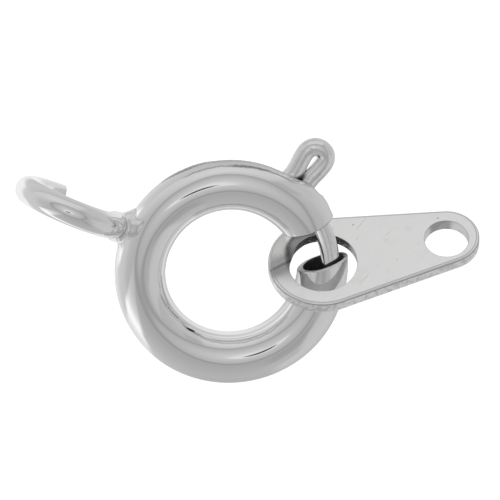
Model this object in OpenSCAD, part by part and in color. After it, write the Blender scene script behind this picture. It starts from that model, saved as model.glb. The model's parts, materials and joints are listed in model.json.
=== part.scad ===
// Spring ring clasp with its flat chain tab, lying on a surface.
// Millimetres, +Z up. Directions round the ring are in degrees, counted from +X towards +Y
// in the ring's own plane, whose origin is the middle of the ring.

/* [Ring] */
// Outside diameter of the ring
ring_d = 6; // [5.6:0.1:6.6]
// Outside diameter of the hollow tube that the ring is bent from
tube_d = 1.32; // [1.26:0.01:1.4]
// Thickness of the tube's sheet
tube_wall = 0.1; // [0.08:0.01:0.12]
// Width of the gap that the latch closes
gap_w = 1; // [0.9:0.05:1.1]
// Direction of the middle of the gap
gap_at = 17; // [15:1:19]

/* [Slot] */
// Room for the nib on each side in the slot
slot_play = 0.05; // [0.03:0.01:0.08]
// Room for the nib at the closed end of the slot, in degrees
slot_room = 2.5; // [1:0.5:5]
// Direction in which the slot ends
slot_to = 127; // [115:1:135]

/* [Chain loop] */
// Outside diameter of the open wire loop
loop_d = 3.07; // [2.9:0.01:3.2]
// Thickness of the loop's wire
loop_wire = 0.69; // [0.6:0.01:0.75]
// Direction in which the loop stands
loop_at = 157.1; // [150:0.1:165]
// Twist of the loop's plane from upright to the ring
loop_twist = 7.9; // [0:0.1:12]
// Part of a full turn that the loop leaves open
loop_open = 103; // [60:1:110]
// Depth to which the loop's wire is sunk in the ring's wall
loop_sink = 0.066; // [0.04:0.002:0.08]
// Radius of the solder where it meets the ring
solder_r = 0.56; // [0.5:0.01:0.62]

/* [Latch] */
// Thickness of the latch's wire
latch_wire = 0.48; // [0.42:0.01:0.52]
// Room between the latch and the outer wall of the bore
latch_play = 0.04; // [0.02:0.01:0.06]
// Length of the tip that rests inside the far end of the ring
tip_in = 0.5; // [0.3:0.05:0.8]
// Direction of the nib's foot
nib_at = 51.7; // [48:0.1:56]
// Lean of the nib away from the gap
nib_lean = 13; // [0:1:20]
// Height of the nib above the ring
nib_h = 1.29; // [1:0.01:1.6]
// Narrow gap between the nib's two legs
nib_slit = 0.1; // [0.06:0.01:0.16]
// Direction in which the latch's tail ends
tail_to = 100; // [90:1:104]
// Travel of the latch until the spring is pressed solid, in degrees
latch_travel = 42; // [38:1:44]

/* [Spring] */
// Thickness of the spring's wire
spring_wire = 0.12; // [0.1:0.01:0.12]
// Room round the spring in the bore
spring_play = 0.1; // [0.06:0.01:0.12]
// Number of turns of the spring
spring_turns = 12; // [10:1:12]
// Thickness of the stop
stop_t = 0.14; // [0.1:0.01:0.2]

/* [Tab] */
// Thickness of the tab
tab_t = 0.375; // [0.3:0.005:0.42]
// Outside diameter of the tab's large end
tab_big_d = 2.82; // [2.7:0.02:3]
// Diameter of the large hole, which hangs on the latch
tab_big_hole = 1.76; // [1.7:0.02:1.9]
// Outside diameter of the tab's small end
tab_small_d = 1.7; // [1.5:0.02:2]
// Diameter of the small hole, for the chain
tab_small_hole = 1.14; // [0.9:0.02:1.3]
// Distance between the middles of the two holes
tab_pitch = 3.31; // [2.8:0.01:4]

/* [Rest] */
// Slope of the ring from its low front side to its high back side
ring_slope = 9; // [8:0.1:10]
// Slope of the ring down to the right
ring_dip = 2.1; // [1:0.1:3]
// Slope of the tab, which lies on its long edge
tab_slope = 44.5; // [43:0.5:48]
// Turn of the tab's long edge away from the X axis
tab_turn = 3.2; // [0:0.1:6]
// Middle of the tab's large hole to the right of the middle of the gap
tab_right = 0.14; // [0.1:0.01:0.2]
// Middle of the tab's large hole in front of the middle of the gap
tab_front = 0.6; // [0.56:0.01:0.64]

/* [Hidden] */
$fn = 96;

tube_r = tube_d / 2;
bore_r = tube_r - tube_wall;
ring_r = (ring_d - tube_d) / 2;             // middle line of the tube
wire_r = latch_wire / 2;
latch_r = ring_r + bore_r - latch_play - wire_r;  // the latch rides along the outer wall
swell = 0.008;                              // a bent wire is a little thicker in its bends
lap = 0.03;                                 // straight wire reaches this far into a bend
over = 0.1;                                 // cuts run this far past what they cut
solder_back = 8;                            // the loop's wire starts this far behind the solder
solder_rim = 0.05;                          // solder round the loop's wire

function around(r, a) = [r * cos(a), r * sin(a), 0];
function turned(v, a) = [v.x * cos(a) - v.y * sin(a), v.x * sin(a) + v.y * cos(a), 0];

// The loop stands on edge: its middle, and the directions out from the ring, up and across it
loop_mean = (loop_d - loop_wire) / 2;
loop_out = around(1, loop_at);
loop_mid = (ring_d / 2 - loop_sink + loop_d / 2) * loop_out;
loop_up = [0, 0, cos(loop_twist)] - sin(loop_twist) * around(1, loop_at + 90);
loop_across = cross(loop_up, loop_out);

// The nib is a U whose legs go out through the slot
nib_foot = around(ring_d / 2, nib_at);
nib_way = around(1, nib_at + nib_lean);
leg_side = (latch_wire + nib_slit) / 2;     // middle of a leg from the middle of the nib
nib_turn_at = nib_foot + (nib_h - leg_side - wire_r) * nib_way;
near_foot = nib_foot + leg_side * turned(nib_way, -90);
far_foot = nib_foot + leg_side * turned(nib_way, 90);

// Distance back along a leg from its foot to the circle of radius r
function back_to(foot, r) = foot * nib_way - sqrt(r * r - foot * foot + pow(foot * nib_way, 2));
near_corner = near_foot - back_to(near_foot, latch_r) * nib_way;
far_corner = far_foot - back_to(far_foot, ring_r) * nib_way;

function direction(p) = atan2(p.y, p.x);
function gap_side(r, side) = gap_at + side * asin(gap_w / 2 / r);
tip_at = gap_side(latch_r, -1) - tip_in / latch_r * 180 / PI;

nib_half = asin((leg_side + wire_r) / (ring_d / 2));
slot_w = latch_wire + 2 * slot_play;
slot_from = nib_at - nib_half - slot_room;

// The spring starts just behind the nib's far leg
spring_r = bore_r - spring_play - spring_wire / 2;
leg_back = far_foot + wire_r * turned(nib_way, 90);
leg_at = direction(leg_back - back_to(leg_back, ring_r + bore_r) * nib_way);
spring_from = leg_at + (spring_wire / 2 + spring_play) / ring_r * 180 / PI;
wire_angle = spring_wire / ring_r * 180 / PI;
spring_to = spring_from + latch_travel + (spring_turns + 1) * wire_angle;
stop_at = spring_to + wire_angle;           // the spring pushes against a stop in the tube

// How the ring lies: rows of its rotation, and its height, from the lowest of its touching places
lie = [
    [cos(ring_dip), sin(ring_dip) * sin(ring_slope), sin(ring_dip) * cos(ring_slope)],
    [0, cos(ring_slope), -sin(ring_slope)],
    [-sin(ring_dip), cos(ring_dip) * sin(ring_slope), cos(ring_dip) * cos(ring_slope)]
];
function ring_reach(d) = ring_r * norm([d.x, d.y]) + tube_r;
function loop_spoke(a) = sin(a) * loop_up - cos(a) * loop_out;
// How far the loop reaches in the direction d, at its side or else at its cut end
function loop_reach(d) =
    let (
        a = (atan2(d * loop_up, -(d * loop_out)) + 360) % 360,
        end = loop_spoke(min(a, 360 - loop_open))
    )
    d * loop_mid + d * end * loop_mean + loop_wire / 2 * norm([d * end, d * loop_across]);
function nib_reach(d) = d * nib_turn_at + leg_side * norm([d.x, d.y]) + wire_r;
ring_up = max(ring_reach(-lie[2]), loop_reach(-lie[2]));

// How the tab lies: its long edge is on the surface, and it slopes up from there to the front
taper = asin((tab_big_d - tab_small_d) / 2 / tab_pitch);
gap_mid = lie * around(ring_r, gap_at);
tab_mid = [
    gap_mid.x + tab_right,
    gap_mid.y - tab_front,
    tab_big_d / 2 * sin(tab_slope) + tab_t / 2 * cos(tab_slope)
];

// The origin is under the middle of the whole
tab_way = [cos(tab_turn), sin(tab_turn), 0];
tab_end_x = tab_mid.x + tab_pitch * cos(taper) * tab_way.x
    + tab_pitch * sin(taper) * cos(tab_slope) * -tab_way.y + tab_small_d / 2;
origin_x = (tab_end_x - loop_reach(-lie[0])) / 2;
origin_y = (nib_reach(lie[1]) - ring_reach(-lie[1])) / 2;

module lay_ring() {
    translate([-origin_x, -origin_y, ring_up])
        rotate([ring_slope, ring_dip, 0])
            children();
}

module lay_tab() {
    translate([tab_mid.x - origin_x, tab_mid.y - origin_y, tab_mid.z])
        rotate([0, 0, tab_turn])
            rotate([-tab_slope, 0, 0])
                rotate([0, 0, taper])
                    children();
}

// A bent piece of round wire or tube in the XY plane, round the origin
module arc_rod(mean_r, rod_r, from, to) {
    rotate([0, 0, from])
        rotate_extrude(angle = to - from)
            translate([mean_r, 0])
                circle(r = rod_r);
}

// A straight piece of wire between two points of the XY plane
module straight_rod(a, b, rod_r) {
    translate(a)
        rotate([0, 0, direction(b - a)])
            rotate([0, 90, 0])
                cylinder(r = rod_r, h = norm(b - a));
}

module gap_cut() {
    rotate([0, 0, gap_at])
        translate([0, -gap_w / 2, -tube_r - over])
            cube([ring_d / 2 + over, gap_w, tube_d + 2 * over]);
}

// The slot's ends are round, and it runs along the middle of the outer wall
module slot_cut() {
    end = slot_w / ring_d * 180 / PI;
    rotate([0, 0, slot_from + end])
        rotate_extrude(angle = slot_to - slot_from - 2 * end)
            translate([ring_r, -slot_w / 2])
                square([tube_r + over, slot_w]);
    for (a = [slot_from + end, slot_to - end])
        rotate([0, 0, a])
            translate([ring_r, 0, 0])
                rotate([0, 90, 0])
                    cylinder(d = slot_w, h = tube_r + over);
}

// The loop runs from the solder over the top and round to its cut end, which is below
module chain_loop() {
    translate(loop_mid)
        rotate([0, 0, loop_at + 180])
            rotate([90 - loop_twist, 0, 0])
                arc_rod(loop_mean, loop_wire / 2, -solder_back, 360 - loop_open);
}

// The solder narrows from the ring's wall to the middle of the loop's wire
module solder() {
    root = ring_r + bore_r - over;
    neck_at = ring_d / 2 - loop_sink + loop_wire / 2;
    rotate([0, 0, loop_at])
        translate([root, 0, 0])
            rotate([0, 90, 0])
                cylinder(r1 = solder_r, r2 = loop_wire / 2 + solder_rim, h = neck_at + solder_rim - root);
}

module ring_body() {
    color("silver") lay_ring() {
        difference() {
            union() {
                arc_rod(ring_r, tube_r, 0, 360);
                chain_loop();
                solder();
            }
            arc_rod(ring_r, bore_r, 0, 360);
            gap_cut();
            slot_cut();
        }
        stop_angle = stop_t / ring_r * 180 / PI;
        arc_rod(ring_r, bore_r + tube_wall / 2, stop_at, stop_at + stop_angle);
    }
}

// A wire from its tip through the gap, out and back as the nib, and on as the spring's guide
module latch() {
    color("gainsboro") lay_ring() {
        arc_rod(latch_r, wire_r, tip_at, direction(near_corner));
        translate(near_corner)
            sphere(r = wire_r + swell);
        straight_rod(near_corner, nib_turn_at + leg_side * turned(nib_way, -90) + lap * nib_way, wire_r);
        translate(nib_turn_at)
            arc_rod(leg_side, wire_r + swell, direction(nib_way) - 90, direction(nib_way) + 90);
        straight_rod(far_corner, nib_turn_at + leg_side * turned(nib_way, 90) + lap * nib_way, wire_r);
        translate(far_corner)
            sphere(r = wire_r + swell);
        arc_rod(ring_r, wire_r, direction(far_corner), tail_to);
    }
}

function coil_point(t, out, side) =
    let (
        a = spring_from + (spring_to - spring_from) * t,
        c = 360 * spring_turns * t,
        away = cos(c) * around(1, a) + [0, 0, sin(c)],
        forward = 360 * spring_turns * spring_r * PI / 180 * (cos(c) * [0, 0, 1] - sin(c) * around(1, a))
            + (spring_to - spring_from) * PI / 180 * (ring_r + spring_r * cos(c)) * around(1, a + 90),
        across = cross(forward, away) / norm(cross(forward, away))
    )
    around(ring_r, a) + (spring_r + out) * away + side * across;

module spring() {
    rings = spring_turns * 14;
    sides = 6;
    points = [
        for (i = [0:rings], k = [0:sides - 1])
            coil_point(i / rings, spring_wire / 2 * cos(360 * k / sides), spring_wire / 2 * sin(360 * k / sides))
    ];
    walls = [
        for (i = [0:rings - 1], k = [0:sides - 1])
            [(i + 1) * sides + k, (i + 1) * sides + (k + 1) % sides, i * sides + (k + 1) % sides, i * sides + k]
    ];
    first = [for (k = [0:sides - 1]) k];
    last = [for (k = [sides - 1:-1:0]) rings * sides + k];
    color("darkgray") lay_ring()
        polyhedron(points, concat([first, last], walls));
}

module tab() {
    color("whitesmoke") lay_tab() {
        difference() {
            linear_extrude(height = tab_t, center = true)
                hull() {
                    circle(d = tab_big_d);
                    translate([tab_pitch, 0])
                        circle(d = tab_small_d);
                }
            cylinder(d = tab_big_hole, h = tab_t + over, center = true);
            translate([tab_pitch, 0, 0])
                cylinder(d = tab_small_hole, h = tab_t + over, center = true);
        }
    }
}

ring_body();
latch();
spring();
tab();
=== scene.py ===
import json
import math
import bpy
import numpy as np
from mathutils import Matrix, Vector
from mathutils.geometry import tessellate_polygon


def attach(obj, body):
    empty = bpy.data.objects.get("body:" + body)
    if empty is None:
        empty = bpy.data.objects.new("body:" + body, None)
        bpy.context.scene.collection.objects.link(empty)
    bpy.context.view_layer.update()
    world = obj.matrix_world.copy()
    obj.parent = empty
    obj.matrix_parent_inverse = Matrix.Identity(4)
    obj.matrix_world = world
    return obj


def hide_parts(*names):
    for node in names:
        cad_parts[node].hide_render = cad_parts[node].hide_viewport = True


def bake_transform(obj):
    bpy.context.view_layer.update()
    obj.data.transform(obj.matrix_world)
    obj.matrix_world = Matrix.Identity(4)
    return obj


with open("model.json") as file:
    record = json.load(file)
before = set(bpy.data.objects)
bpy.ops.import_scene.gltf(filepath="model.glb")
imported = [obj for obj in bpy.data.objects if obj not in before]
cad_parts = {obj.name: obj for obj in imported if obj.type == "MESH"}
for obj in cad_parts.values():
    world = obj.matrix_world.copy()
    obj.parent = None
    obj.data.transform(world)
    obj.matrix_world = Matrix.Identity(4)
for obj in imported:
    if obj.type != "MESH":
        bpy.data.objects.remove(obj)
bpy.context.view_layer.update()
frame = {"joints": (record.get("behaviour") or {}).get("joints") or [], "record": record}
print("frame loaded")

mm = 0.001  # shapes are worked out in millimetres


def unit(v):
    return np.array(v, float) / np.linalg.norm(v)


def around(radius, angle):  # a point of the ring's plane, angle in degrees
    return radius * np.array([math.cos(math.radians(angle)), math.sin(math.radians(angle)), 0.0])


def steps(first, last, count):
    return np.linspace(first, last, count)


def sine(angle):
    return np.sin(np.radians(angle))


def cosine(angle):
    return np.cos(np.radians(angle))


# The ring's own frame: its middle, and its axes from the latch's joint and the gap's direction
gapAt = 17
joint = frame["joints"][0]
mounts = {m["name"]: m for m in frame["record"]["mounts"]}
ringMiddle = np.array(joint["pos_m"]) / mm
ringZ = unit(joint["axis"])
gapWay = unit(mounts["ring_gap"]["axis"])
gapSide = np.cross(ringZ, gapWay)
ringX = unit(gapWay * cosine(gapAt) - gapSide * sine(gapAt))
ringY = np.cross(ringZ, ringX)
ringAxes = np.array([ringX, ringY, ringZ])


def fromRing(points):  # from the ring's frame to the part's, both in millimetres
    return np.asarray(points) @ ringAxes + ringMiddle


# Meshes

def makePiece(name, points, normals, faces, materials, faceMaterials=None):
    mesh = bpy.data.meshes.new(name)
    mesh.from_pydata((np.asarray(points) * mm).tolist(), [], [list(map(int, f)) for f in faces])
    mesh.polygons.foreach_set("use_smooth", [True] * len(mesh.polygons))
    for material in materials:
        mesh.materials.append(material)
    if faceMaterials is not None:
        mesh.polygons.foreach_set("material_index", faceMaterials)
    mesh.normals_split_custom_set_from_vertices([Vector(n).normalized() for n in normals])
    piece = bpy.data.objects.new(name, mesh)
    bpy.context.scene.collection.objects.link(piece)
    return piece


def gridFaces(rows, columns, start=0):  # rows of points, each closed round
    faces = []
    for i in range(rows - 1):
        for k in range(columns):
            after = (k + 1) % columns
            faces.append([start + i * columns + k, start + i * columns + after,
                          start + (i + 1) * columns + after, start + (i + 1) * columns + k])
    return faces


class Shape:  # points, normals and faces of a piece, gathered from its parts
    def __init__(self):
        self.points = []
        self.normals = []
        self.faces = []
        self.kinds = []

    def add(self, points, normals, faces, kind=0):
        start = len(self.points)
        self.points.extend(np.asarray(points).reshape(-1, 3))
        self.normals.extend(np.asarray(normals).reshape(-1, 3))
        self.faces.extend([[start + int(i) for i in f] for f in faces])
        self.kinds.extend([kind] * len(faces) if np.isscalar(kind) else kind)

    def wire(self, path, across, radius, sides, rounding, kind=0):  # a round wire with flat, rounded ends
        path = np.asarray(path, float)
        tangents = np.gradient(path, axis=0)
        tangents /= np.linalg.norm(tangents, axis=1)[:, None]
        across = np.asarray(across, float) * np.ones_like(path)
        side = np.cross(across, tangents)
        side /= np.linalg.norm(side, axis=1)[:, None]
        across = np.cross(tangents, side)
        angles = np.radians(steps(0, 360, sides + 1)[:-1])[:, None]
        rows, rowNormals = [], []

        def row(at, out, lean, shift):
            spoke = np.cos(angles) * side[at] + np.sin(angles) * across[at]
            rows.append(path[at] + shift * tangents[at] + out * spoke)
            rowNormals.append(math.cos(lean) * spoke + math.sin(lean) * tangents[at])

        turn = np.radians(steps(90, 0, 5))
        for a in turn:
            row(0, radius - rounding * (1 - math.cos(a)), -a, rounding * (1 - math.sin(a)))
        for i in range(1, len(path) - 1):
            row(i, radius, 0, 0)
        for a in turn[::-1]:
            row(-1, radius - rounding * (1 - math.cos(a)), a, -rounding * (1 - math.sin(a)))
        count = len(rows)
        start = count * sides
        points = np.vstack(rows + [path[:1], path[-1:]])
        normals = np.vstack(rowNormals + [-tangents[:1], tangents[-1:]])
        faces = gridFaces(count, sides)
        for k in range(sides):
            after = (k + 1) % sides
            faces.append([start, after, k])
            last = (count - 1) * sides
            faces.append([start + 1, last + k, last + after])
        self.add(points, normals, faces, kind)

    def piece(self, name, materials):
        normals = np.asarray(self.normals) @ ringAxes
        return makePiece(name, fromRing(self.points), normals, self.faces, materials, self.kinds)


# Finishes

class Value:  # a socket that works in Python expressions
    def __init__(self, finish, socket):
        self.finish = finish
        self.socket = socket

    def maths(self, operation, first, second):
        return self.finish.node("Math", {"operation": operation}, [first, second])

    def __add__(self, other):
        return self.maths("ADD", self, other)

    def __sub__(self, other):
        return self.maths("SUBTRACT", self, other)

    def __rsub__(self, other):
        return self.maths("SUBTRACT", other, self)

    def __mul__(self, other):
        return self.maths("MULTIPLY", self, other)

    def __truediv__(self, other):
        return self.maths("DIVIDE", self, other)

    __radd__ = __add__
    __rmul__ = __mul__


class Finish:  # a node tree and the one way of adding to it
    def __init__(self, tree):
        self.tree = tree
        self.tree.nodes.clear()

    def node(self, kind, settings=None, sockets=(), output=0):
        made = self.tree.nodes.new("ShaderNode" + kind)
        for name, value in (settings or {}).items():
            if name == "stops":
                ramp = made.color_ramp
                while len(ramp.elements) < len(value):
                    ramp.elements.new(0.5)
                for element, (place, tone) in zip(ramp.elements, value):
                    element.position = place
                    element.color = (tone, tone, tone, 1)
            else:
                setattr(made, name, value)
        pairs = sockets.items() if isinstance(sockets, dict) else enumerate(sockets)
        for key, value in pairs:
            value = float(value) if isinstance(value, np.floating) else value
            if isinstance(value, Value):
                self.tree.links.new(value.socket, made.inputs[key])
            else:
                made.inputs[key].default_value = value
        return Value(self, made.outputs[output]) if made.outputs else None


def newFinish(name):
    material = bpy.data.materials.new(name)
    material.use_nodes = True
    return material, Finish(material.node_tree)


plating = {
    "silver": (0.93, 0.93, 0.928),
    "metal": 1.0,
    "roughness": 0.04,
    "roughnessSpread": 0.05,
    "waves": 1.1,  # per millimetre
    "waveHeight": 0.0006,  # millimetres
    "grain": 24,
    "grainHeight": 0.00008,
    "cloud": 2.3,  # how fine the patches of duller metal are
    "specks": (0.7, 0.8, 0.1),  # from and to in the grain, darkness
}
degree = 180 / math.pi


def between(finish, value, low, high):  # from 0 at the low value to 1 at the high one
    return finish.node("MapRange", {"interpolation_type": "SMOOTHSTEP"}, {
        "Value": value, "From Min": low, "From Max": high, "To Min": 0.0, "To Max": 1.0})


def band(finish, value, low, high, soft):  # 1 from the low value to the high one
    return between(finish, value, low - soft, low) * (1.0 - between(finish, value, high, high + soft))


def within(finish, value, edge, soft):  # 1 up to the edge
    return 1.0 - between(finish, value, edge, edge + soft)


def along(finish, place, origin, axis):
    moved = finish.node("VectorMath", {"operation": "SUBTRACT"}, [place, tuple(origin)])
    return finish.node("VectorMath", {"operation": "DOT_PRODUCT"}, [moved, tuple(axis)], "Value")


def ringPlace(finish, place):  # direction round the ring, distance from its axis, height over its plane
    x, y, z = (along(finish, place, ringMiddle, axis) for axis in ringAxes)
    turn = finish.node("Math", {"operation": "ARCTAN2"}, [y, x]) * degree
    return turn, finish.node("Math", {"operation": "SQRT"}, [x * x + y * y]), z


def silverPlating(name, changes=None, tone=None):  # tone: the lightness by the place in millimetres
    look = {**plating, **(changes or {})}
    material, finish = newFinish(name)
    place = finish.node("TexCoord", output="Object")
    place = finish.node("VectorMath", {"operation": "SCALE"}, {0: place, "Scale": 1 / mm})
    waves = finish.node("TexNoise", None, {"Vector": place, "Scale": look["waves"], "Detail": 1.0})
    grain = finish.node("TexNoise", None, {"Vector": place, "Scale": look["grain"], "Detail": 3.0})
    cloud = finish.node("TexNoise", None, {"Vector": place, "Scale": look["cloud"], "Detail": 3.0})
    relief = waves * (look["waveHeight"] * mm) + grain * (look["grainHeight"] * mm)
    bump = finish.node("Bump", None, {"Strength": 1.0, "Distance": 1.0, "Height": relief})
    speckFrom, speckTo, speckDark = look["specks"]
    light = tone(finish, place) if tone else 1.0 - between(finish, grain, speckFrom, speckTo) * speckDark
    colour = finish.node("VectorMath", {"operation": "SCALE"}, {0: look["silver"], "Scale": light})
    metal = finish.node("BsdfPrincipled", None, {
        "Base Color": colour, "Metallic": look["metal"], "Normal": bump,
        "Roughness": look["roughness"] + cloud * look["roughnessSpread"],
    })
    finish.node("OutputMaterial", None, {"Surface": metal})
    return material


springSteel = silverPlating("spring_steel", {"silver": (0.8, 0.8, 0.8), "roughness": 0.3})
print("finishes made")


# Ring: a tube rolled from sheet, whose edges meet along the outer wall and part at the slot
ring = {
    "across": 6.0,
    "tubeAcross": 1.32,
    "wall": 0.1,
    "gapWide": 1.0,
    "slotFrom": 39.02,
    "slotTo": 127.0,
    "slotWide": 0.58,
    "seamWide": 0.004,
    "lipRound": 0.04,
    "seamRound": 0.012,
    "rimRound": 0.03,
    "arcPoints": 80,  # round the outside, and round the inside
    "bendPoints": 5,  # round each corner of a lip
    "rimSteps": 5,  # round the edge of each end
    "narrowFrom": 97,  # where the slot starts to narrow towards its far end
    "narrowing": 0.7,
    "slotTurn": [(42, 15), (60, 12), (100, 12), (127, 3), (150, 0)],  # degrees below the wall's middle
    "flare": [  # direction round the ring, how much farther the outer wall stands out
        (20, 0.03), (27, 0.04), (30, 0.06), (34, 0.11), (38, 0.135), (42, 0.17), (46, 0.21), (51, 0.16),
        (56, 0.07), (64, 0.05), (100, 0.05), (115, -0.03), (150, -0.04), (175, 0), (215, 0.02),
        (235, 0.045), (320, 0.045), (345, 0.03), (356, 0.06), (367, 0.1),
    ],
    "inward": [  # the same for the inner wall
        (20, 0), (50, 0.04), (150, 0.04), (180, 0), (340, 0), (356, -0.04), (367, -0.07),
    ],
    "slant": 2.2,  # degrees by which the outer side of the gap's upper end is cut back
    "slantTo": 12,  # degrees from that end
    "mouthPinch": 0.16,  # how much the lower end's bore is pinched at its inner side
    "mouthDeep": 0.16,
    "stopAt": 148.9,
    "stopThick": 0.14,
    "stopSeat": 0.03,  # how far it is pressed into the wall
}
tubeR = ring["tubeAcross"] / 2
boreR = tubeR - ring["wall"]
ringR = (ring["across"] - ring["tubeAcross"]) / 2


slotSpan, mouthSpan = (35, 130), (0, 14)  # degrees round the ring
# Lightness of the cut edges: a painted highlight at the gap's lower end (mouth), painted shade at its upper
# end (end), the slot's edges lighter
edgePaintedLight = {"mouth": 0.95, "slot": 0.8, "end": 0.3, "specks": 0.2}
# Lightness of the bore: painted shade deep inside, painted light where the slot opens
insidePaintedLight = {"deep": 0.03, "cloud": 0.08, "slot": 0.88, "slotSpan": (40, 130)}
contourPaintedShade = (0.45, 0.9, 0.2)  # painted shade towards the contour: from and to of the layer weight, darkness
# Dark bands painted on the ring: painted shade in the crease beside the slot, a darker band on the inner
# wall, and painted reflection lines inside the ring
ringDarkBands = [  # from and to round the ring, from and to round the tube, softness, darkness
    (60, 112, 32, 34, 1.8, 0.42),  # painted shade in the crease beside the slot
    (74, 88, 31, 36, 2, 0.4),
    (44, 118, 128, 140, 5, 0.22),  # a darker band on the inner wall
    (-112, -46, 137.5, 139.5, 2.2, 0.3),  # a painted reflection line inside the ring
    (-131, -117, 141, 145, 2.4, 0.32),
    (-180, -155, 144, 147, 2.4, 0.25),
]


def edgeTone(finish, place):  # the cut edges: a painted highlight at the gap's lower end, painted shade at its upper end, lighter in the slot, with darker specks
    turn, _, _ = ringPlace(finish, place)
    slot = band(finish, turn, *slotSpan, 1.0)
    mouth = band(finish, turn, *mouthSpan, 1.0)
    speck = finish.node("TexNoise", None, {"Vector": place, "Scale": 14.0, "Detail": 2.0})
    light = edgePaintedLight["end"] + slot * (edgePaintedLight["slot"] - edgePaintedLight["end"])
    light = light + mouth * (edgePaintedLight["mouth"] - edgePaintedLight["end"])
    return light * (1.0 - between(finish, speck, 0.5, 0.7) * edgePaintedLight["specks"])


def insideTone(finish, place):  # painted shade deep in the bore, painted light where the slot opens, with random clouds
    turn, _, _ = ringPlace(finish, place)
    cloud = finish.node("TexNoise", None, {"Vector": place, "Scale": 7.0, "Detail": 3.0})
    slot = band(finish, turn, *insidePaintedLight["slotSpan"], 8)
    return slot * insidePaintedLight["slot"] + insidePaintedLight["deep"] + cloud * insidePaintedLight["cloud"]


def ringTone(finish, place):  # dark bands of painted shade and painted reflection, a darker band on the inner wall, and painted shade towards the contour
    turn, radius, height = ringPlace(finish, place)
    section = finish.node("Math", {"operation": "ARCTAN2"}, [height, radius - ringR]) * degree
    rough = finish.node("TexNoise", None, {"Vector": place, "Scale": 6.0, "Detail": 4.0})
    wander = (rough - 0.5) * 7.0  # degrees by which the bands' edges stray
    # painted shade where the surface turns away towards the contour
    contour = finish.node("LayerWeight", None, {"Blend": 0.5}, 1)
    light = 1.0 - between(finish, contour, *contourPaintedShade[:2]) * contourPaintedShade[2]
    for first, last, low, high, soft, dark in ringDarkBands:
        darkBand = band(finish, turn, first, last, 6) * band(finish, section + wander, low, high, soft)
        light = light * (1.0 - darkBand * dark)
    return light


ringPlating = silverPlating("ring_plating", None, ringTone)
tubeInside = silverPlating("tube_inside", {"roughness": 0.5, "metal": 0.1}, insideTone)
cutEdge = silverPlating("cut_edge", {"roughness": 0.35, "metal": 0.85}, edgeTone)


def ringAngle(radius, share, half):  # direction of a point, by its share of the way between the gap's ends
    side = np.degrees(np.arcsin(half / radius))
    return (gapAt + side) * (1 - share) + (gapAt + 360 - side) * share


def slotHalf(angle):  # half the slot's width, and the lean of its edge, along the outer wall
    radius = ring["slotWide"] / 2
    if angle > ring["narrowFrom"]:
        share = min(1.0, (ring["slotTo"] - angle) / (ring["slotTo"] - ring["narrowFrom"]))
        return max(ring["seamWide"], radius * max(0, share) ** ring["narrowing"]), -8.0
    past = math.radians(angle - ring["slotFrom"]) * ring["across"] / 2
    if past <= 0:
        return ring["seamWide"], 0.0
    if past >= radius:
        return radius, 0.0
    half = math.sqrt(radius ** 2 - (radius - past) ** 2)
    return max(half, ring["seamWide"]), 90 - math.degrees(math.asin(half / radius))


def byAngle(rows, angle):
    return np.interp(angle, [row[0] for row in rows], [row[1] for row in rows])


def tubeSection(half, inset):  # round the sheet: outside from the upper lip to the lower, and back inside
    outer, inner = tubeR - inset, boreR + inset
    wanted = ring["lipRound"] if half > ring["seamWide"] else ring["seamRound"]
    lipR = min(wanted, ring["wall"] / 2 - inset - 0.002)
    lipZ = half + lipR
    outX = math.sqrt((outer - lipR) ** 2 - lipZ ** 2)
    inX = math.sqrt((inner + lipR) ** 2 - lipZ ** 2)
    outA = math.degrees(math.atan2(lipZ, outX))
    inA = math.degrees(math.atan2(lipZ, inX))
    rows = []  # x, z, the normal's x and z, share of the lip's own lean

    def bend(x, z, first, last, lipFirst, lipLast):
        count = ring["bendPoints"]
        for a, lip in zip(steps(first, last, count), steps(lipFirst, lipLast, count)):
            rows.append((x + lipR * cosine(a), z + lipR * sine(a), cosine(a), sine(a), lip))

    def arc(radius, first, last, facing):
        for a in steps(first, last, ring["arcPoints"] + 2)[1:-1]:
            rows.append((radius * cosine(a), radius * sine(a), facing * cosine(a), facing * sine(a), 0))

    bend(outX, lipZ, -90, outA, 1, 0)
    arc(outer, outA, 360 - outA, 1)
    bend(outX, -lipZ, -outA, 90, 0, -1)
    bend(inX, -lipZ, 90, 180 - inA, -1, 0)
    arc(inner, 360 - inA, inA, -1)
    bend(inX, lipZ, 180 + inA, 270, 0, 1)
    return np.array(rows)


def ringStations():  # share round and angle of each section, close together at the slot's ends
    first = gapAt + math.degrees(math.asin(ring["gapWide"] / ring["across"]))
    last = 2 * gapAt + 360 - first
    end = math.degrees(ring["slotWide"] / ring["across"])
    angles = list(steps(first, ring["slotFrom"], 14))
    angles += [ring["slotFrom"] + end * (1 - cosine(a)) for a in steps(6, 90, 12)]
    for start, stop, count in (
        (ring["slotFrom"] + end, ring["slotTo"] - end, 90),
        (ring["slotTo"] - end, ring["slotTo"], 14),
        (ring["slotTo"], last - 5, 200),
        (last - 5, last, 16),
    ):
        angles += list(steps(start, stop, count))[1:]
    return [(a - first) / (last - first) for a in angles], angles


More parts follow.
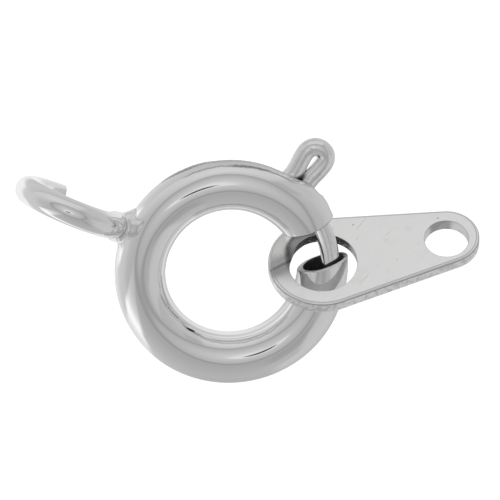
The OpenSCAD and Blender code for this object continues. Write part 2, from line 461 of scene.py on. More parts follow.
def ringShell(shape):
    shares, angles = ringStations()
    rim, rimSteps = ring["rimRound"], ring["rimSteps"]
    stations = []  # share round, back from the gap, inset of the wall, normal endwise and outwise, angle
    for b in steps(0, 90, rimSteps + 1)[:-1]:
        stations.append((0.0, rim * (1 - cosine(b)), rim * (1 - sine(b)), -cosine(b), sine(b), angles[0]))
    for share, angle in zip(shares, angles):
        stations.append((share, rim, 0, 0, 1, angle))
    for b in steps(90, 0, rimSteps + 1)[1:]:
        stations.append((1.0, rim * (1 - cosine(b)), rim * (1 - sine(b)), cosine(b), sine(b), angles[-1]))
    gapY = around(1, gapAt + 90)
    rows, rowNormals = [], []
    for share, back, inset, endwise, outwise, angle in stations:
        half, lean = slotHalf(angle)
        x, z, nx, nz, lip = tubeSection(half, inset).T
        lower = byAngle(ring["slotTurn"], angle)
        x, z = x * cosine(lower) + z * sine(lower), z * cosine(lower) - x * sine(lower)
        nx, nz = nx * cosine(lower) + nz * sine(lower), nz * cosine(lower) - nx * sine(lower)
        x = x * (1 + np.where(x > 0, byAngle(ring["flare"], angle), byAngle(ring["inward"], angle)))
        toMouth = max(0.0, 1 - math.radians(angles[-1] - angle) * ringR / ring["mouthDeep"])
        bore = np.arange(len(x)) > len(x) // 2
        x = np.where(bore & (x < 0), x * (1 - ring["mouthPinch"] * toMouth ** 2), x)
        radius = ringR + x
        turn = np.radians(ringAngle(radius, share, ring["gapWide"] / 2 + back))
        toEnd = max(0.0, 1 - (angle - angles[0]) / ring["slantTo"])
        turn = turn + math.radians(ring["slant"]) * toEnd * np.clip(x / tubeR, 0, 1)
        out = np.stack([np.cos(turn), np.sin(turn), 0 * turn], 1)
        on = np.stack([-np.sin(turn), np.cos(turn), 0 * turn], 1)
        rows.append(radius[:, None] * out + z[:, None] * [0, 0, 1])
        bent = np.radians(lean) * np.abs(lip)
        normal = nx[:, None] * out + (nz * np.cos(bent))[:, None] * [0, 0, 1] \
            + (np.abs(nz) * np.sin(bent))[:, None] * on
        rowNormals.append(outwise * normal + endwise * gapY)
    columns = len(rows[0])
    faces = [f[::-1] for f in gridFaces(len(rows), columns)]
    bends, arcs = ring["bendPoints"], ring["arcPoints"]
    outside = range(bends, bends + arcs)
    inside = range(3 * bends + arcs, 3 * bends + 2 * arcs)
    kinds = []
    for i in range(len(faces)):
        column, row = i % columns, i // columns
        rimRow = row < rimSteps - 1 or row > len(rows) - rimSteps - 1
        lips = column not in outside and slotHalf(stations[row][5])[0] > ring["seamWide"]
        kinds.append(1 if column in inside else 2 if rimRow or lips else 0)
    for row, flip in ((0, True), (len(rows) - 1, False)):
        start = row * columns
        for i in range(columns // 2 - 1):
            face = [start + i, start + columns - 1 - i, start + columns - 2 - i, start + i + 1]
            faces.append(face[::-1] if flip else face)
            kinds.append(2)
    shape.add(np.vstack(rows), np.vstack(rowNormals), faces, kinds)
    stopFrom = ring["stopAt"]
    stopTo = stopFrom + math.degrees(ring["stopThick"] / ringR)
    path = [around(ringR, a) for a in steps(stopFrom, stopTo, 4)]
    shape.wire(path, (0, 0, 1), boreR + ring["stopSeat"], 48, 0.02, 1)


# Chain loop: an open wire loop soldered to the ring, standing on edge
loop = {
    "across": 3.07,
    "wire": 0.69,
    "at": 157.1,
    "twist": 7.9,
    "sink": 0.066,
    "from": 4,  # degrees round the loop, from its foot on the ring
    "to": 263,
    "endRound": 0.06,
    "sides": 72,
}
solder = {
    "heart": (3.12, 157.5, 0.0),  # distance from the ring's middle, direction, height
    "reach": 0.64,
    "soft": 0.13,  # how softly it runs into the ring and the wire
    "deep": 0.05,  # how far it goes into the ring's wall
    "footTo": 0,  # where the wire's foot ends, degrees round the loop
    "footSlope": 0.04,
    "lobes": [  # distance, direction, height, radius
        (3.14, 158.3, 0.0, 0.37),
        (2.92, 151.5, 0.0, 0.24),
    ],
    "columns": 120,
    "rows": 80,
    "lastRow": 88,  # degrees up and down from the heart
    "stride": 0.004,
    "skin": 0.002,
}
loopR = (loop["across"] - loop["wire"]) / 2
loopWireR = loop["wire"] / 2
loopOut = around(1, loop["at"])
loopMiddle = (ring["across"] / 2 - loop["sink"] + loop["across"] / 2) * loopOut
loopUp = np.array([0, 0, cosine(loop["twist"])]) - sine(loop["twist"]) * around(1, loop["at"] + 90)
loopAcross = np.cross(loopUp, loopOut)


def loopPath():
    turns = steps(loop["from"], loop["to"], 150)
    return [loopMiddle + loopR * (sine(a) * loopUp - cosine(a) * loopOut) for a in turns]


def raised(distance, angle, height):
    return around(distance, angle) + np.array([0, 0, height])


def softMin(a, b, soft):  # the smaller distance, run together where they are alike
    share = np.clip(0.5 + 0.5 * (b - a) / soft, 0, 1)
    return b * (1 - share) + a * share - soft * share * (1 - share)


def ringDistance(p):
    return np.hypot(np.hypot(p[..., 0], p[..., 1]) - ringR, p[..., 2]) - tubeR


def solderDistance(p):  # to the ring, the wire's foot and the solder's lobes run together
    fromMiddle = p - loopMiddle
    up, out, side = fromMiddle @ loopUp, fromMiddle @ loopOut, fromMiddle @ loopAcross
    toWire = np.hypot(np.hypot(up, out) - loopR, side) - loopWireR
    below = solder["footTo"] - np.degrees(np.arctan2(up, -out))
    metal = toWire + solder["footSlope"] * np.clip(below, 0, 90)
    for *place, radius in solder["lobes"]:
        metal = softMin(metal, np.linalg.norm(p - raised(*place), axis=-1) - radius, solder["soft"])
    return softMin(ringDistance(p), metal, solder["soft"])


def solderBlob(shape):  # every point lies where a ray from the heart first leaves the metal
    columns, rows = solder["columns"], solder["rows"]
    stride, skin, lastRow = solder["stride"], solder["skin"], solder["lastRow"]
    heart = raised(*solder["heart"])
    ways = [np.array([cosine(b) * cosine(a), cosine(b) * sine(a), sine(b)])
            for b in steps(-lastRow, lastRow, rows) for a in steps(0, 360, columns + 1)[:-1]]
    ways = np.array(ways + [np.array([0, 0, -1.0]), np.array([0, 0, 1.0])])

    def inMetal(reach):
        points = heart + reach[:, None] * ways
        return (solderDistance(points) < -skin) & (ringDistance(points) > -solder["deep"])

    high = np.zeros(len(ways))
    done = np.zeros(len(ways), bool)
    while not done.all():
        done |= ~inMetal(high) | (high > solder["reach"])
        high = np.where(done, high, high + stride)
    low = high - stride
    for _ in range(8):
        middle = (low + high) / 2
        inside = inMetal(middle)
        low, high = np.where(inside, middle, low), np.where(inside, high, middle)
    points = heart + low[:, None] * ways
    normals = np.stack([
        solderDistance(points + skin * axis) - solderDistance(points - skin * axis) for axis in np.eye(3)
    ], 1)
    faces = gridFaces(rows, columns)
    last = (rows - 1) * columns
    for k in range(columns):
        after = (k + 1) % columns
        faces.append([len(ways) - 2, after, k])
        faces.append([len(ways) - 1, last + k, last + after])
    shape.add(points, normals / np.linalg.norm(normals, axis=1)[:, None], faces)


ringShape = Shape()
ringShell(ringShape)
ringShape.wire(loopPath(), loopAcross, loopWireR, loop["sides"], loop["endRound"])
solderBlob(ringShape)
ringPiece = ringShape.piece("ring_tube", [ringPlating, tubeInside, cutEdge])
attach(ringPiece, "clasp")
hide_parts("ring_body")
print("ring and chain loop made")


# Latch: one wire from its tip through the gap, out and back as the nib, and on inside the spring
latch = {
    "wire": 0.48,
    "runsAt": 2.62,
    "tipAt": -4.9,
    "nibFoot": (2.971, 53.6, -0.12),  # distance from the ring's middle, direction, height
    "nibWay": 55.3,
    "nibHigh": 1.235,  # from its foot
    "crown": 0.285,
    "legs": [(0.0, 0.228), (0.25, 0.236), (0.45, 0.268), (0.62, 0.283)],  # height, distance from the middle
    "tipUp": 0.11,  # how far the tip stands over the ring's plane
    "tipIn": 0.025,
    "tipBend": 32,  # degrees over which it rises
    "archTo": 41,
    "bendIn": (2.74, 47.5, -0.09),  # distance, direction, height
    "bendOut": (2.66, 60, -0.07),
    "tailFrom": 66,
    "tailTo": 100,
    "sides": 48,
    "endRound": 0.05,
}
nibMarks = {
    "streakAt": (0.297, 0.303),  # from the crest's middle
    "streakTurn": (38, 104),
    "lineAt": (-0.3, -0.29),  # across the leg
    "lineUp": (0.33, 0.48),
    "streakDark": 0.65,
    "mottleDark": 0.08,
    "rootUp": (0.1, 0.2),  # the shade between the legs
    "rootDark": 0.5,
}
wireR = latch["wire"] / 2


def smoothPath(points, spacing):  # a smooth curve through the points
    points = np.asarray(points, float)
    ends = np.vstack([2 * points[0] - points[1], points, 2 * points[-1] - points[-2]])
    out = []
    for i in range(1, len(ends) - 2):
        p0, p1, p2, p3 = ends[i - 1:i + 3]
        count = max(2, int(np.linalg.norm(p2 - p1) / spacing))
        for t in steps(0, 1, count + 1)[:-1]:
            out.append(0.5 * (2 * p1 + (p2 - p0) * t + (2 * p0 - 5 * p1 + 4 * p2 - p3) * t ** 2
                              + (3 * p1 - p0 - 3 * p2 + p3) * t ** 3))
    out.append(points[-1])
    return np.array(out)


def even(path, spacing):
    path = np.asarray(path)
    lengths = np.concatenate([[0], np.cumsum(np.linalg.norm(np.diff(path, axis=0), axis=1))])
    wanted = steps(0, lengths[-1], int(lengths[-1] / spacing) + 2)
    return np.stack([np.interp(wanted, lengths, path[:, i]) for i in range(3)], 1)


def softened(path, times):
    for _ in range(times):
        path = np.vstack([path[:1], (path[:-2] + 2 * path[1:-1] + path[2:]) / 4, path[-1:]])
    return path


def latchPath():
    foot = raised(*latch["nibFoot"])
    way = around(1, latch["nibWay"])
    side = around(1, latch["nibWay"] + 90)
    crown = latch["nibHigh"] - wireR - latch["crown"]

    def nib(u, v):
        return foot + u * way + v * side

    near = [raised(*latch["bendIn"])] + [nib(u, -v) for u, v in latch["legs"]]
    crest = [nib(crown + latch["crown"] * sine(a), -latch["crown"] * cosine(a)) for a in steps(0, 180, 7)]
    far = [nib(u, v) for u, v in latch["legs"][::-1]] + [raised(*latch["bendOut"])]
    arch = []
    for a in steps(latch["tipAt"], latch["archTo"], 24):
        up = max(0, 1 - (a - latch["tipAt"]) / latch["tipBend"])
        arch.append(raised(latch["runsAt"] - latch["tipIn"] * up, a, latch["tipUp"] * up))
    tail = [around(ringR, a) for a in steps(latch["tailFrom"], latch["tailTo"], 18)]
    path = smoothPath(arch + near + crest + far + tail, 0.02)
    return softened(even(path, 0.03), 6)


def nibTone(finish, place):  # two fine streaks along the nib's crest, and the shade between its legs
    side = around(1, latch["nibWay"] + 90) @ ringAxes
    way = around(1, latch["nibWay"]) @ ringAxes
    foot = fromRing(raised(*latch["nibFoot"]))
    u, v = along(finish, place, foot, way), along(finish, place, foot, side)
    middle = latch["nibHigh"] - wireR - latch["crown"]
    up = u - middle
    far = finish.node("Math", {"operation": "SQRT"}, [up * up + v * v])
    turn = finish.node("Math", {"operation": "ARCTAN2"}, [v, up]) * degree
    above = between(finish, along(finish, place, ringMiddle, ringZ), 0.1, 0.15)
    streak = band(finish, far, *nibMarks["streakAt"], 0.012)
    streak = streak * band(finish, turn, *nibMarks["streakTurn"], 8)
    line = band(finish, v, *nibMarks["lineAt"], 0.012) * band(finish, u, *nibMarks["lineUp"], 0.04)
    rough = finish.node("TexNoise", None, {"Vector": place, "Scale": 9.0, "Detail": 3.0})
    mottle = between(finish, rough, 0.5, 0.7) * nibMarks["mottleDark"]
    root = within(finish, u, *nibMarks["rootUp"]) * band(finish, v, -0.05, 0.05, 0.06)
    dark = (streak + line) * above * nibMarks["streakDark"]
    return 1.0 - dark - mottle - root * nibMarks["rootDark"]


latchPlating = silverPlating("latch_plating", {"waveHeight": 0.0025, "waves": 2.2}, nibTone)
latchShape = Shape()
latchShape.wire(latchPath(), (0, 0, 1), wireR, latch["sides"], latch["endRound"])
latchPiece = latchShape.piece("latch_wire", [latchPlating])
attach(latchPiece, "latch")
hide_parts("latch")
print("latch made")


# Spring
spring = {
    "wire": 0.12,
    "coilR": 0.4,
    "turns": 12,
    "from": 65.75,
    "to": 145.95,
    "turnPoints": 26,
    "sides": 12,
    "endRound": 0.02,
}


def springPath():
    points = []
    for share in steps(0, 1, spring["turns"] * spring["turnPoints"] + 1):
        angle = spring["from"] + (spring["to"] - spring["from"]) * share
        wound = 360 * spring["turns"] * share
        points.append(raised(ringR + spring["coilR"] * cosine(wound), angle, spring["coilR"] * sine(wound)))
    return np.array(points)


def springEnd(angle):
    return Vector(fromRing([around(ringR, angle)])[0] * mm)


springShape = Shape()
coil = springPath()
core = np.array([around(ringR, a) for a in steps(spring["from"], spring["to"], len(coil))])
springShape.wire(coil, coil - core, spring["wire"] / 2, spring["sides"], spring["endRound"])
springPiece = springShape.piece("coil_spring", [springSteel])
springEnd(spring["to"])
springEnd(spring["from"])
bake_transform(springPiece)
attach(springPiece, "clasp")
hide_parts("spring")
print("spring made")


# Tab: a flat plate with a large hole for the latch and a small one for the chain
tab = {
    "thick": 0.375,
    "bigAcross": 2.82,
    "bigHole": 1.76,
    "smallAcross": 1.7,
    "smallHole": 1.14,
    "pitch": 3.31,
    "rim": [  # inset, drop, lean of the normal
        (0.085, 0.0, 2),
        (0.066, 0.004, 12),
        (0.024, 0.03, 42),
        (0.006, 0.052, 68),
        (0.0, 0.08, 90),
    ],
    # strips with finish 1 are painted shade: thin dark lines where the rim's bevel bends
    "rimFinishes": (1, 0, 1, 2, 2),
    "offset": (0.025, 0.08),  # how far the outline lies beside the holes' line
    "holeTop": [(0, 0.02), (30, 0.05), (90, 0.05), (120, 0.0), (150, -0.09), (185, 0.0), (360, 0.02)],
    "holeBottom": [(0, 0.05), (30, 0.09), (105, 0.09), (150, 0.0), (300, 0.0), (360, 0.05)],
    "bigEdge": 0.02,
    "smallEdge": 0.035,
    "outlinePoints": (120, 80),
    "holePoints": (120, 96),
}
tabMarks = {
    "scratches": [  # slope, how long, how close, from and to in the noise, darkness
        (0.8, 0.7, 9.0, 0.64, 0.72, 0.14),
        (-1.2, 0.9, 12.0, 0.68, 0.74, 0.12),
    ],
    "blotchDark": 0.05,
    # Painted reflection and shade at the broad end: a crease line, darker below it and above it
    "crease": (-1.348, 0.117, 18.18),  # a place on it, and its direction
    "creaseEnd": (-0.78, 0.12),
    "shades": [(0.0, 0.05, 0.03, 0.204), (0.02, 0.14, 0.3, 0.408)],  # painted shade below the crease line: from, to, softness, darkness
    "upper": (-0.75, -0.16, 0.12, 0.3),  # the same for painted shade above the crease line
    "nicks": [(3.25, 0.69, 0.03, 0.3), (1.07, 1.02, 0.03, 0.3), (1.9, -0.35, 0.025, 0.15)],
    "wallDark": 0.25,
    "torn": (36, 172, 20),  # directions from the hole's middle, softness
    "tornLight": 0.85,
    "tornDark": 0.75,
    "fibreLight": 0.45,
    "farSide": (72, 118, 16),
    "smallWallLight": 0.98,
    "farSideDark": 0.4,
    "mottleDark": 0.12,
}
tabNormal = unit(mounts["chain_hole"]["axis"])
tabLevel = unit(np.cross(tabNormal, (0, 0, 1)))
tabTaper = math.degrees(math.asin((tab["bigAcross"] - tab["smallAcross"]) / 2 / tab["pitch"]))
tabX = tabLevel * cosine(tabTaper) + np.cross(tabNormal, tabLevel) * sine(tabTaper)
tabAxes = np.array([tabX, np.cross(tabNormal, tabX), tabNormal])
tabMiddle = np.array(mounts["chain_hole"]["pos_m"]) / mm - tab["pitch"] * tabX


def tabPlace(finish, place):  # distance from the large hole's middle along the tab, and across it
    return (along(finish, place, tabMiddle, axis) for axis in tabAxes[:2])


def scratches(finish, first, second, lengthwise, crosswise, low, high):  # fine marks along a direction
    spots = finish.node("CombineXYZ", None, [first * lengthwise, second * crosswise, 0.0])
    noise = finish.node("TexNoise", None, {"Vector": spots, "Scale": 1.0, "Detail": 2.0})
    return between(finish, noise, low, high)


def faceTone(finish, place):  # scratches and nicks all over, and painted reflection and shade along a crease line at the broad end
    x, y = tabPlace(finish, place)
    flat = finish.node("CombineXYZ", None, [x, y, 0.0])
    blotch = finish.node("TexNoise", None, {"Vector": place, "Scale": 3.0, "Detail": 4.0})
    light = 1.0 - between(finish, blotch, 0.55, 0.75) * tabMarks["blotchDark"]
    for slope, lengthwise, crosswise, low, high, dark in tabMarks["scratches"]:
        first, second = x + y * slope, y - x * slope
        light = light - scratches(finish, first, second, lengthwise, crosswise, low, high) * dark
    for nickX, nickY, wide, dark in tabMarks["nicks"]:
        away = finish.node("VectorMath", {"operation": "DISTANCE"}, [flat, (nickX, nickY, 0.0)], "Value")
        light = light * (1.0 - within(finish, away, wide / 2, wide) * dark)
    creaseX, creaseY, creaseTurn = tabMarks["crease"]
    below = (x - creaseX) * sine(creaseTurn) - (y - creaseY) * cosine(creaseTurn)
    left = within(finish, x, *tabMarks["creaseEnd"])
    shade = sum(band(finish, below, low, high, soft) * dark for low, high, soft, dark in tabMarks["shades"])
    *upperBand, upperDark = tabMarks["upper"]
    upper = band(finish, below, *upperBand) * upperDark
    return light * (1.0 - left * shade) * (1.0 - left * upper)


def wallTone(finish, place):
    fine = finish.node("TexNoise", None, {"Vector": place, "Scale": 9.0, "Detail": 3.0})
    return 1.0 - between(finish, fine, 0.4, 0.65) * tabMarks["wallDark"]


def tornTone(finish, place):  # the large hole's wall: rough, with lighter fibres, and darker over one range of directions from its middle
    x, y = tabPlace(finish, place)
    turn = finish.node("Math", {"operation": "ARCTAN2"}, [y, x]) * degree
    fine = finish.node("TexNoise", None, {"Vector": place, "Scale": 11.0, "Detail": 4.0})
    fibres = between(finish, fine, 0.45, 0.75) * tabMarks["fibreLight"]
    return tabMarks["tornLight"] - band(finish, turn, *tabMarks["torn"]) * (tabMarks["tornDark"] - fibres)


def smallWallTone(finish, place):  # the small hole's wall, darker at its far side
    fine = finish.node("TexNoise", None, {"Vector": place, "Scale": 3.5, "Detail": 2.0})
    x, y = tabPlace(finish, place)
    turn = finish.node("Math", {"operation": "ARCTAN2"}, [y, x - tab["pitch"]]) * degree
    farSide = band(finish, turn, *tabMarks["farSide"]) * tabMarks["farSideDark"]
    return tabMarks["smallWallLight"] - farSide - between(finish, fine, 0.4, 0.65) * tabMarks["mottleDark"]


satin = {"silver": (0.99, 0.99, 0.985), "roughness": 0.22, "grainHeight": 0.0004}
# painted shade: a darker silver for the thin dark lines at the rim's bends
paintedCreaseShade = {"silver": (0.5, 0.5, 0.5), "roughness": 0.3}
sheared = {"roughness": 0.3, "waves": 4, "waveHeight": 0.0025, "grainHeight": 0.001}
torn = {"roughness": 0.45, "grainHeight": 0.002}
bored = {"roughness": 0.3, "grainHeight": 0.001}
tabFinishes = [
    silverPlating("tab_face", satin, faceTone),
    silverPlating("tab_crease_shade", paintedCreaseShade),
    silverPlating("tab_wall", sheared, wallTone),
    silverPlating("torn_wall", torn, tornTone),
    silverPlating("small_wall", bored, smallWallTone),
]


# Each outline is drawn by its inset into the metal, and by the share of the way down to the lower face
def tabOutline(inset, depth):
    big, small = tab["bigAcross"] / 2 - inset, tab["smallAcross"] / 2 - inset
    bigTurns = steps(90 - tabTaper, 270 + tabTaper, tab["outlinePoints"][0])
    smallTurns = steps(-90 + tabTaper, 90 - tabTaper, tab["outlinePoints"][1])
    points = [(big * cosine(a), big * sine(a)) for a in bigTurns]
    points += [(tab["pitch"] + small * cosine(a), small * sine(a)) for a in smallTurns]
    return np.array(points) + tab["offset"]


def bigHole(inset, depth):  # the torn edge, wider or narrower by the direction
    turns = steps(0, 360, tab["holePoints"][0] + 1)[:-1]
    top, bottom = (byAngle(tab[edge], turns) for edge in ("holeTop", "holeBottom"))
    radius = tab["bigHole"] / 2 + inset + top * (1 - depth) + bottom * depth
    return np.stack([radius * cosine(turns), radius * sine(turns)], 1)


def smallHole(inset, depth):
    turns = steps(0, 360, tab["holePoints"][1] + 1)[:-1]
    radius = tab["smallHole"] / 2 + inset
    return np.stack([tab["pitch"] + radius * cosine(turns), radius * sine(turns)], 1)


def rounded(edge):  # inset, height and the normal's lean outwards, from the face to the wall's middle
    half = tab["thick"] / 2
    return [(edge * (1 - sine(b)), half - edge * (1 - cosine(b)), b) for b in steps(0, 90, 5)]


def tabShape():
    half = tab["thick"] / 2
    shape = Shape()
    rings = []
    rim = [(inset, half - drop, lean) for inset, drop, lean in tab["rim"]]
    makers = [  # outline, side the metal lies on, profile, finish of each strip of it
        (tabOutline, 1, rim, tab["rimFinishes"]),
        (bigHole, -1, rounded(tab["bigEdge"]), (0, 0, 3, 3, 3)),
        (smallHole, -1, rounded(tab["smallEdge"]), (0, 0, 4, 4, 4)),
    ]
    for make, facing, profile, finishes in makers:
        rows, rowNormals = [], []
        profile = [(inset, z, sine(b), cosine(b)) for inset, z, b in profile]
        profile += [(inset, -z, out, -up) for inset, z, out, up in profile[::-1]]
        for inset, z, out, up in profile:
            flat = make(inset, 0.5 - z / tab["thick"])
            way = np.roll(flat, -1, 0) - np.roll(flat, 1, 0)
            way /= np.linalg.norm(way, axis=1)[:, None]
            side = np.stack([way[:, 1], -way[:, 0]], 1) * facing
            rows.append(np.hstack([flat, np.full((len(flat), 1), z)]))
            rowNormals.append(np.hstack([side * out, np.full((len(flat), 1), up)]))
        count = len(rows[0])
        faces = gridFaces(len(rows), count)
        if facing > 0:
            faces = [f[::-1] for f in faces]
        start = len(shape.points)
        strips = list(finishes) + list(finishes[-2::-1])
        kinds = [strips[i // count] for i in range(len(faces))]
        shape.add(np.vstack(rows), np.vstack(rowNormals), faces, kinds)
        rings.append((start, start + (len(rows) - 1) * count, count))
    for side in (0, 1):
        loops, indices = [], []
        for ringStart in rings:
            ids = [ringStart[side] + k for k in range(ringStart[2])]
            loops.append([Vector(shape.points[i]) for i in ids])
            indices += ids
        for face in tessellate_polygon(loops):
            face = [indices[i] for i in face]
            a, b, c = (np.array(shape.points[i]) for i in face)
            up = np.cross(b - a, c - a)[2]
            shape.faces.append(face if (up > 0) == (side == 0) else face[::-1])
            shape.kinds.append(0)
    return shape


tabMesh = tabShape()
tabPoints = np.asarray(tabMesh.points) @ tabAxes + tabMiddle
tabNormals = np.asarray(tabMesh.normals) @ tabAxes
tabPiece = makePiece("chain_tab", tabPoints, tabNormals, tabMesh.faces, tabFinishes, tabMesh.kinds)
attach(tabPiece, "clasp")
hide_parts("tab")
print("tab made")


# Studio: a pale glowing table under a soft tent
studio = {
    "elevation": 82.225,
    "azimuth": 102.675,
    "cameraFar": 150.0,
    "pixelsPerMm": 38.67,
    "aimRight": 19.7,  # pixels from the ring's middle to the image's
    "aimUp": 20.3,
    "picture": 500,
    "tableSize": 1000,
    "tableGlow": 0.75,
    "tablePaper": 0.9,
}


def direction(elevation, azimuth):
    level = cosine(elevation)
    return np.array([level * cosine(azimuth), level * sine(azimuth), sine(elevation)])


cameraBack = direction(studio["elevation"], studio["azimuth"])
cameraUp = unit(np.array([0, 1, 0]) - cameraBack[1] * cameraBack)
cameraRight = np.cross(cameraUp, cameraBack)
aim = ringMiddle + (cameraRight * studio["aimRight"] + cameraUp * studio["aimUp"]) / studio["pixelsPerMm"]
spot = (aim + cameraBack * studio["cameraFar"]) * mm
camera = bpy.data.objects.new("camera", bpy.data.cameras.new("camera"))
bpy.context.scene.collection.objects.link(camera)
cameraColumns = (cameraRight, cameraUp, cameraBack, spot)
camera.matrix_world = Matrix([[column[i] for column in cameraColumns] for i in range(3)] + [[0, 0, 0, 1]])
camera.data.sensor_width = 36
camera.data.lens = 36 * studio["cameraFar"] * studio["pixelsPerMm"] / studio["picture"]
camera.data.clip_start = 0.001
camera.data.clip_end = 10
bpy.context.scene.camera = camera
bpy.context.scene.view_settings.view_transform = "Standard"


def stageSheet(name, middle, height, material):  # a flat sheet over the whole table
    mesh = bpy.data.meshes.new(name)
    half = studio["tableSize"] / 2 * mm
    corners = [(-half, -half, 0), (half, -half, 0), (half, half, 0), (-half, half, 0)]
    mesh.from_pydata(corners, [], [(0, 1, 2, 3)])
    mesh.materials.append(material)
    sheet = bpy.data.objects.new(name, mesh)
    sheet.location = (middle[0] * mm, middle[1] * mm, height * mm)
    bpy.context.scene.collection.objects.link(sheet)
    return sheet


def shown(grey):  # light that polished silver shows as this grey of 255
    share = grey / 255
    linear = share / 12.92 if share < 0.04 else ((share + 0.055) / 1.055) ** 2.4
    return linear / plating["silver"][1]


white = (1, 1, 1, 1)
floorPaint, finish = newFinish("table_paper")
glow = finish.node("Emission", None, {"Color": white, "Strength": studio["tableGlow"]})
paper = finish.node("BsdfDiffuse", None, {"Color": (studio["tablePaper"],) * 3 + (1,)})
finish.node("OutputMaterial", None, {"Surface": finish.node("AddShader", None, [glow, paper])})
stageSheet("floor", (0, 0), 0, floorPaint)

# The greys that the silver shows of its surroundings. The table's go by the distance from the ring's
# middle in millimetres, the tent's by the elevation in degrees, and the top's by degrees from the camera
seenTable = {
    "back": [
        (0, 198), (1.2, 208), (1.7, 222), (2.8, 228), (3.2, 222),
        (4, 200), (6, 190), (12, 186), (30, 182),
    ],
    "left": [
        (0, 192), (1.2, 206), (1.7, 230), (3.1, 244), (3.7, 240),
        (4.5, 222), (6, 205), (11, 200), (30, 199),
    ],
    "front": [
        (0, 196), (0.6, 226), (1.4, 238), (1.9, 194), (2.4, 178),
        (3.2, 200), (3.8, 182), (5, 177), (30, 178),
    ],
    "right": [
        (0, 188), (1.2, 186), (1.7, 178), (2.4, 166), (3.1, 192),
        (3.8, 198), (6, 194), (11, 192), (30, 189),
    ],
    "reach": 30,
    "height": 0.01,
    "patchesFrom": (1.0, 3.0),
    "patches": [  # azimuth, half width, softness, greys by distance
        (219, 7, 6, [(0, 200), (3.1, 236), (5, 226), (7, 236), (12, 248), (30, 251)]),
        (312, 14, 10, [(0, 185), (2.4, 176), (3.2, 196), (5, 194), (30, 194)]),
        (165, 13, 7, [
            (0, 198), (3.4, 230), (5, 242), (7, 250), (8.6, 238), (10.5, 208), (13, 200), (30, 199),
        ]),
    ],
}
seenTent = {
    "back": [
        (0, 208), (6, 204), (12, 203), (20, 208), (30, 208), (38, 198), (46, 187), (54, 184), (70, 184),
    ],
    "left": [(0, 199), (12, 195), (20, 186), (30, 181), (45, 177), (60, 176), (70, 176)],
    "front": [(0, 176), (15, 174), (30, 171), (42, 168), (50, 166), (60, 166), (70, 170)],
    "right": [(0, 188), (12, 183), (25, 177), (40, 177), (50, 173), (60, 174), (70, 176)],
    "reach": 90,
    "windows": [  # azimuth, half width, softness, highest elevation, softness, greys by elevation
        (220, 7, 6, 50, 10, [
            (0, 251), (5, 248), (10, 240), (15, 230), (20, 218), (30, 204), (40, 193), (50, 184),
        ]),
        (321, 28, 5, 32, 14, [(0, 194), (30, 190), (45, 186)]),
        (341, 9, 8, 44, 10, [(0, 192), (30, 191), (50, 184)]),
        (60, 4, 12, 8, 8, [(0, 208), (10, 208)]),
        (40, 7, 8, 50, 6, [(0, 186), (25, 186), (34, 172), (50, 170)]),
        (295, 5, 6, 50, 6, [(0, 180), (20, 178), (30, 162), (50, 156)]),
    ],
    "top": [(0, 221), (4, 214), (8, 204), (12, 195), (18, 190), (24, 183), (30, 176), (36, 170)],
    "topReach": 45,
    "topEnd": (36, 3),
    "circle": (36.6, 1.4, 3.2, 152),  # degrees from the camera, half width, softness, grey
    "circleShares": {"back": 0.45, "left": 0.8, "front": 1.0, "right": 0.8},
    "lensAt": (-2.6, -7.2),  # degrees right and up of the camera's direction
    "lensWideness": 1.8,
    "lensTilt": 0.12,
    "lensSide": (60, 61),  # it shows only this near to the camera
    "lensRings": [(5.0, 2.5, 222), (2.6, 1.3, 60)],  # radius, softness, grey of the halo and the lens
}


def byRows(finish, value, rows, reach):
    stops = [(place / reach, shown(grey)) for place, grey in rows]
    return finish.node("ValToRGB", {"stops": stops}, {"Fac": value / reach})


def quarters(finish, x, y, flat):  # shares of back, left, front and right in a direction, one in all
    def share(v):
        kept = finish.node("Math", {"operation": "MAXIMUM"}, [v, 0.0])
        return kept * kept
    x, y = x / flat, y / flat
    return {"right": share(x), "left": share(x * -1.0), "back": share(y), "front": share(y * -1.0)}


def beside(finish, x, y, flat, azimuth):  # degrees to the side of an azimuth
    toward = (x * cosine(azimuth) + y * sine(azimuth)) / flat
    near = finish.node("Math", {"operation": "MINIMUM"}, [toward, 0.99999])
    return finish.node("Math", {"operation": "ARCCOSINE"}, [near]) * degree


def over(level, mask, new):
    return level + mask * (new - level)


def flatLevel(finish, x, y, value, seen):  # the level by the four sides, and the length in the plane
    flat = finish.node("Math", {"operation": "SQRT"}, [x * x + y * y])
    shares = quarters(finish, x, y, flat)
    value = value or flat
    level = sum(byRows(finish, value, seen[side], seen["reach"]) * share for side, share in shares.items())
    return level, flat, shares


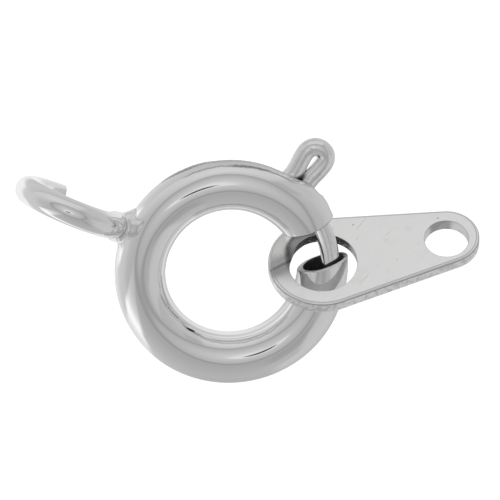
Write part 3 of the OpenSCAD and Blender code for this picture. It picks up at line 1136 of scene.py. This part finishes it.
sheetPaint, finish = newFinish("seen_table")
place = finish.node("TexCoord", None, output="Object")
x, y = (along(finish, place, (0, 0, 0), axis) / mm for axis in ((1, 0, 0), (0, 1, 0)))
level, flat, shares = flatLevel(finish, x, y, None, seenTable)
for azimuth, half, soft, rows in seenTable["patches"]:
    mask = within(finish, beside(finish, x, y, flat, azimuth), half, soft)
    mask = mask * between(finish, flat, *seenTable["patchesFrom"])
    level = over(level, mask, byRows(finish, flat, rows, seenTable["reach"]))
glow = finish.node("Emission", None, {"Color": white, "Strength": level})
finish.node("OutputMaterial", None, {"Surface": glow})
seenSheet = stageSheet("seen_table", ringMiddle, seenTable["height"], sheetPaint)
seenSheet.visible_camera = False  # only reflections show it
seenSheet.visible_diffuse = False
seenSheet.visible_shadow = False
seenSheet.visible_transmission = False

world = bpy.data.worlds.new("tent")
bpy.context.scene.world = world
world.use_nodes = True
tent = Finish(world.node_tree)
way = tent.node("TexCoord", None, output="Generated")
x, y, z = (along(tent, way, (0, 0, 0), axis) for axis in np.eye(3))


def angleFrom(toward):  # degrees from a direction
    return tent.node("Math", {"operation": "ARCCOSINE"}, [along(tent, way, (0, 0, 0), toward)]) * degree


high = tent.node("Math", {"operation": "ARCSINE"}, [z]) * degree
level, flat, shares = flatLevel(tent, x, y, high, seenTent)
for azimuth, half, soft, top, topSoft, rows in seenTent["windows"]:
    mask = within(tent, beside(tent, x, y, flat, azimuth), half, soft) * within(tent, high, top, topSoft)
    level = over(level, mask, byRows(tent, high, rows, seenTent["reach"]))
fromCamera = angleFrom(cameraBack)
top = byRows(tent, fromCamera, seenTent["top"], seenTent["topReach"])
level = over(level, within(tent, fromCamera, *seenTent["topEnd"]), top)
circleAt, circleHalf, circleSoft, circleGrey = seenTent["circle"]
circle = band(tent, fromCamera, circleAt - circleHalf, circleAt + circleHalf, circleSoft)
circleShare = sum(shares[side] * seenTent["circleShares"][side] for side in shares)
level = over(level, circle * circleShare, shown(circleGrey))

# The camera's lens, a dark spot in a bright halo
lensRight, lensUp = seenTent["lensAt"]
lensX = along(tent, way, (0, 0, 0), cameraRight) * degree - lensRight
lensY = along(tent, way, (0, 0, 0), cameraUp) * degree - lensUp - lensX * seenTent["lensTilt"]
lensX = lensX / seenTent["lensWideness"]
fromLens = tent.node("Math", {"operation": "SQRT"}, [lensX * lensX + lensY * lensY])
fromLens = fromLens + between(tent, fromCamera, *seenTent["lensSide"]) * 99.0
for radius, soft, grey in seenTent["lensRings"]:
    level = over(level, within(tent, fromLens, radius, soft), shown(grey))
glow = tent.node("Background", None, {"Color": white, "Strength": level})
tent.node("OutputWorld", None, {"Surface": glow})
print("studio made")
